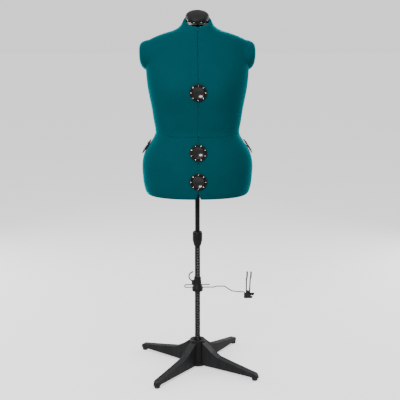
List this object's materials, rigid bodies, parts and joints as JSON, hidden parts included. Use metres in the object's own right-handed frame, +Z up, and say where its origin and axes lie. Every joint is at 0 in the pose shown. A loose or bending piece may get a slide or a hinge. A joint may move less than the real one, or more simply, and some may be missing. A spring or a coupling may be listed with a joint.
{
  "type": "dress form",
  "caption": "Dial-adjustable dress form torso with a fabric cover, on a telescopic pole with a splayed-leg base and a hem marker.",
  "frame": {"origin": "on the floor, at the middle of the base", "axes": "+Z up along the pole, -Y the front of the form, +X the form's own left"},
  "size_m": [0.4228, 0.4228, 1.269],
  "materials": {
    "teal_fabric": "foam-backed knitted cover with a soft pile",
    "shell_plastic": "moulded black shell, matt",
    "white_nylon": "natural nylon",
    "dial_black": "polished black",
    "foot_rubber": "matt",
    "black_tube": "satin black lacquer",
    "zinc_steel": "bright zinc",
    "dark_wire": "dark plated spring wire",
    "black_plastic": "fine moulded grain"
  },
  "bodies": {
    "stand": {"base_hub": "black_plastic", "leg_front_left": "black_plastic", "leg_front_right": "black_plastic", "leg_back_left": "black_plastic", "leg_back_right": "black_plastic", "foot_pads": "foot_rubber", "leg_screws": "zinc_steel", "hub_bolt": "zinc_steel", "tube_plug": "white_nylon", "lower_tube": "black_tube", "lock_body": "black_plastic", "lock_collet": "white_nylon"},
    "lock_nut": {"lock_nut": "black_plastic"},
    "hem_liner": {"hem_liner": "white_nylon"},
    "hem_clamp": {"hem_clamp": "black_plastic"},
    "release_lever": {"release_lever": "black_plastic"},
    "hem_rod": {"hem_rod": "dark_wire"},
    "gripper": {"gripper_base": "black_plastic"},
    "gripper_jaw": {"gripper_jaw": "black_plastic"},
    "upper_pole": {"upper_tube": "black_tube", "tube_end_bush": "white_nylon", "torso_stop_ring": "black_tube"},
    "hip_core": {"hip_core": "black_plastic", "waist_guide_rods": "zinc_steel"},
    "hip_front": {"hip_front_bracket": "black_plastic"},
    "hip_back": {"hip_back_bracket": "black_plastic"},
    "side_left": {"side_adjuster_left": "black_plastic"},
    "side_right": {"side_adjuster_right": "black_plastic"},
    "bodice_core": {"bodice_core": "black_plastic", "bust_front_housing": "black_plastic", "bust_back_housing": "black_plastic", "neck_housing": "black_plastic"},
    "waist_lock_screw": {"waist_lock_screw": "black_plastic"},
    "bodice_left": {"bodice_left_shell": "shell_plastic", "bodice_left_cover": "teal_fabric", "bodice_left_racks": "white_nylon"},
    "bodice_right": {"bodice_right_shell": "shell_plastic", "bodice_right_cover": "teal_fabric", "bodice_right_racks": "white_nylon"},
    "hip_front_left": {"hip_front_left_shell": "shell_plastic", "hip_front_left_cover": "teal_fabric", "hip_front_left_racks": "white_nylon"},
    "hip_front_right": {"hip_front_right_shell": "shell_plastic", "hip_front_right_cover": "teal_fabric", "hip_front_right_racks": "white_nylon"},
    "hip_back_left": {"hip_back_left_shell": "shell_plastic", "hip_back_left_cover": "teal_fabric", "hip_back_left_racks": "white_nylon"},
    "hip_back_right": {"hip_back_right_shell": "shell_plastic", "hip_back_right_cover": "teal_fabric", "hip_back_right_racks": "white_nylon"},
    "dial_bust_front": {"dial_bust_front": "dial_black"},
    "dial_bust_back": {"dial_bust_back": "dial_black"},
    "dial_neck": {"dial_neck": "dial_black"},
    "dial_waist_front": {"dial_waist_front": "dial_black"},
    "dial_hip_front": {"dial_hip_front": "dial_black"},
    "dial_waist_back": {"dial_waist_back": "dial_black"},
    "dial_hip_back": {"dial_hip_back": "dial_black"},
    "dial_waist_left": {"dial_waist_left": "dial_black"},
    "dial_waist_right": {"dial_waist_right": "dial_black"}
  },
  "joints": [
    {"name": "lock_nut_turn", "type": "hinge", "parent": "stand", "child": "lock_nut", "pos_m": [0, 0, 0.49], "axis": [0, 0, 1], "range_deg": [0, 120]},
    {"name": "hem_height", "type": "slide", "parent": "stand", "child": "hem_liner", "axis": [0, 0, 1], "range_m": [-0.16, 0.1]},
    {"name": "hem_clamp_turn", "type": "hinge", "parent": "hem_liner", "child": "hem_clamp", "pos_m": [0, 0, 0.3], "axis": [0, 0, 1], "continuous": true},
    {"name": "release_lever_swing", "type": "hinge", "parent": "hem_clamp", "child": "release_lever", "pos_m": [-0.016, 0, 0.315], "axis": [0, -1, 0], "range_deg": [0, 20], "stiffness_Nm_per_rad": 0.3},
    {"name": "hem_rod_slide", "type": "slide", "parent": "hem_clamp", "child": "hem_rod", "axis": [1, 0, 0], "range_m": [-0.018, 0.018]},
    {"name": "gripper_turn", "type": "hinge", "parent": "hem_rod", "child": "gripper", "pos_m": [0.172, 0.014, 0.26], "axis": [0, 0, 1], "range_deg": [-90, 90]},
    {"name": "gripper_jaw_open", "type": "hinge", "parent": "gripper", "child": "gripper_jaw", "pos_m": [0.188, 0.014, 0.2615], "axis": [0, 1, 0], "range_deg": [0, 9], "stiffness_Nm_per_rad": 0.25},
    {"name": "pole_height", "type": "slide", "parent": "stand", "child": "upper_pole", "axis": [0, 0, 1], "range_m": [-0.06, 0.26]},
    {"name": "torso_turn", "type": "hinge", "parent": "upper_pole", "child": "hip_core", "pos_m": [0, 0, 0.77], "axis": [0, 0, 1], "continuous": true},
    {"name": "hip_back_slide", "type": "slide", "parent": "hip_core", "child": "hip_back", "axis": [0, 1, 0], "range_m": [0, 0.022]},
    {"name": "hip_front_slide", "type": "slide", "parent": "hip_core", "child": "hip_front", "axis": [0, -1, 0], "range_m": [0, 0.022]},
    {"name": "side_left_slide", "type": "slide", "parent": "hip_core", "child": "side_left", "axis": [1, 0, 0], "range_m": [0, 0.022]},
    {"name": "side_right_slide", "type": "slide", "parent": "hip_core", "child": "side_right", "axis": [-1, 0, 0], "range_m": [0, 0.022]},
    {"name": "hip_front_left_slide", "type": "slide", "parent": "hip_front", "child": "hip_front_left", "axis": [1, 0, 0], "range_m": [0, 0.022]},
    {"name": "hip_front_right_slide", "type": "slide", "parent": "hip_front", "child": "hip_front_right", "axis": [-1, 0, 0], "range_m": [0, 0.022]},
    {"name": "hip_back_left_slide", "type": "slide", "parent": "hip_back", "child": "hip_back_left", "axis": [1, 0, 0], "range_m": [0, 0.022]},
    {"name": "hip_back_right_slide", "type": "slide", "parent": "hip_back", "child": "hip_back_right", "axis": [-1, 0, 0], "range_m": [0, 0.022]},
    {"name": "waist_length", "type": "slide", "parent": "hip_core", "child": "bodice_core", "axis": [0, 0, 1], "range_m": [0, 0.05]},
    {"name": "waist_lock_turn", "type": "hinge", "parent": "bodice_core", "child": "waist_lock_screw", "pos_m": [0, 0.02, 0.94], "axis": [0, 1, 0], "range_deg": [0, 180]},
    {"name": "bodice_left_slide", "type": "slide", "parent": "bodice_core", "child": "bodice_left", "axis": [1, 0, 0], "range_m": [0, 0.022]},
    {"name": "bodice_right_slide", "type": "slide", "parent": "bodice_core", "child": "bodice_right", "axis": [-1, 0, 0], "range_m": [0, 0.022]},
    {"name": "dial_bust_front_turn", "type": "hinge", "parent": "bodice_core", "child": "dial_bust_front", "pos_m": [0, -0.1226, 1.002], "axis": [0, -1, 0], "range_deg": [0, 316]},
    {"name": "dial_bust_back_turn", "type": "hinge", "parent": "bodice_core", "child": "dial_bust_back", "pos_m": [0, 0.1098, 1.002], "axis": [0, 0.9925, -0.1219], "range_deg": [0, 316]},
    {"name": "dial_neck_turn", "type": "hinge", "parent": "bodice_core", "child": "dial_neck", "pos_m": [0, 0, 1.237], "axis": [0, -0.4384, 0.8988], "range_deg": [0, 316]},
    {"name": "dial_waist_front_turn", "type": "hinge", "parent": "hip_front", "child": "dial_waist_front", "pos_m": [0, -0.1228, 0.803], "axis": [0, -0.9848, 0.1736], "range_deg": [0, 316]},
    {"name": "dial_hip_front_turn", "type": "hinge", "parent": "hip_front", "child": "dial_hip_front", "pos_m": [0, -0.131, 0.707], "axis": [0, -1, 0], "range_deg": [0, 316]},
    {"name": "dial_waist_back_turn", "type": "hinge", "parent": "hip_back", "child": "dial_waist_back", "pos_m": [0, 0.104, 0.803], "axis": [0, 0.9272, 0.3746], "range_deg": [0, 316]},
    {"name": "dial_hip_back_turn", "type": "hinge", "parent": "hip_back", "child": "dial_hip_back", "pos_m": [0, 0.132, 0.707], "axis": [0, 1, 0], "range_deg": [0, 316]},
    {"name": "dial_waist_left_turn", "type": "hinge", "parent": "side_left", "child": "dial_waist_left", "pos_m": [0.1728, 0, 0.807], "axis": [0.8387, 0, 0.5446], "range_deg": [0, 316]},
    {"name": "dial_waist_right_turn", "type": "hinge", "parent": "side_right", "child": "dial_waist_right", "pos_m": [-0.1728, 0, 0.807], "axis": [-0.8387, 0, 0.5446], "range_deg": [0, 316]}
  ],
  "couplings": [
    {"joint": "bodice_right_slide", "follows": "bodice_left_slide", "ratio": 1},
    {"joint": "dial_bust_front_turn", "follows": "bodice_left_slide", "rad_per_m": 250},
    {"joint": "dial_bust_back_turn", "follows": "bodice_left_slide", "rad_per_m": 250},
    {"joint": "dial_neck_turn", "follows": "bodice_left_slide", "rad_per_m": 250},
    {"joint": "hip_front_right_slide", "follows": "hip_front_left_slide", "ratio": 1},
    {"joint": "hip_back_left_slide", "follows": "hip_front_left_slide", "ratio": 1},
    {"joint": "hip_back_right_slide", "follows": "hip_front_left_slide", "ratio": 1},
    {"joint": "side_left_slide", "follows": "hip_front_left_slide", "ratio": 1},
    {"joint": "side_right_slide", "follows": "hip_front_left_slide", "ratio": 1},
    {"joint": "dial_waist_front_turn", "follows": "hip_front_left_slide", "rad_per_m": 250},
    {"joint": "dial_hip_front_turn", "follows": "hip_front_left_slide", "rad_per_m": 250},
    {"joint": "dial_waist_back_turn", "follows": "hip_front_left_slide", "rad_per_m": 250},
    {"joint": "dial_hip_back_turn", "follows": "hip_front_left_slide", "rad_per_m": 250},
    {"joint": "hip_front_slide", "follows": "hip_back_slide", "ratio": 1},
    {"joint": "dial_waist_left_turn", "follows": "hip_back_slide", "rad_per_m": 250},
    {"joint": "dial_waist_right_turn", "follows": "hip_back_slide", "rad_per_m": 250}
  ]
}
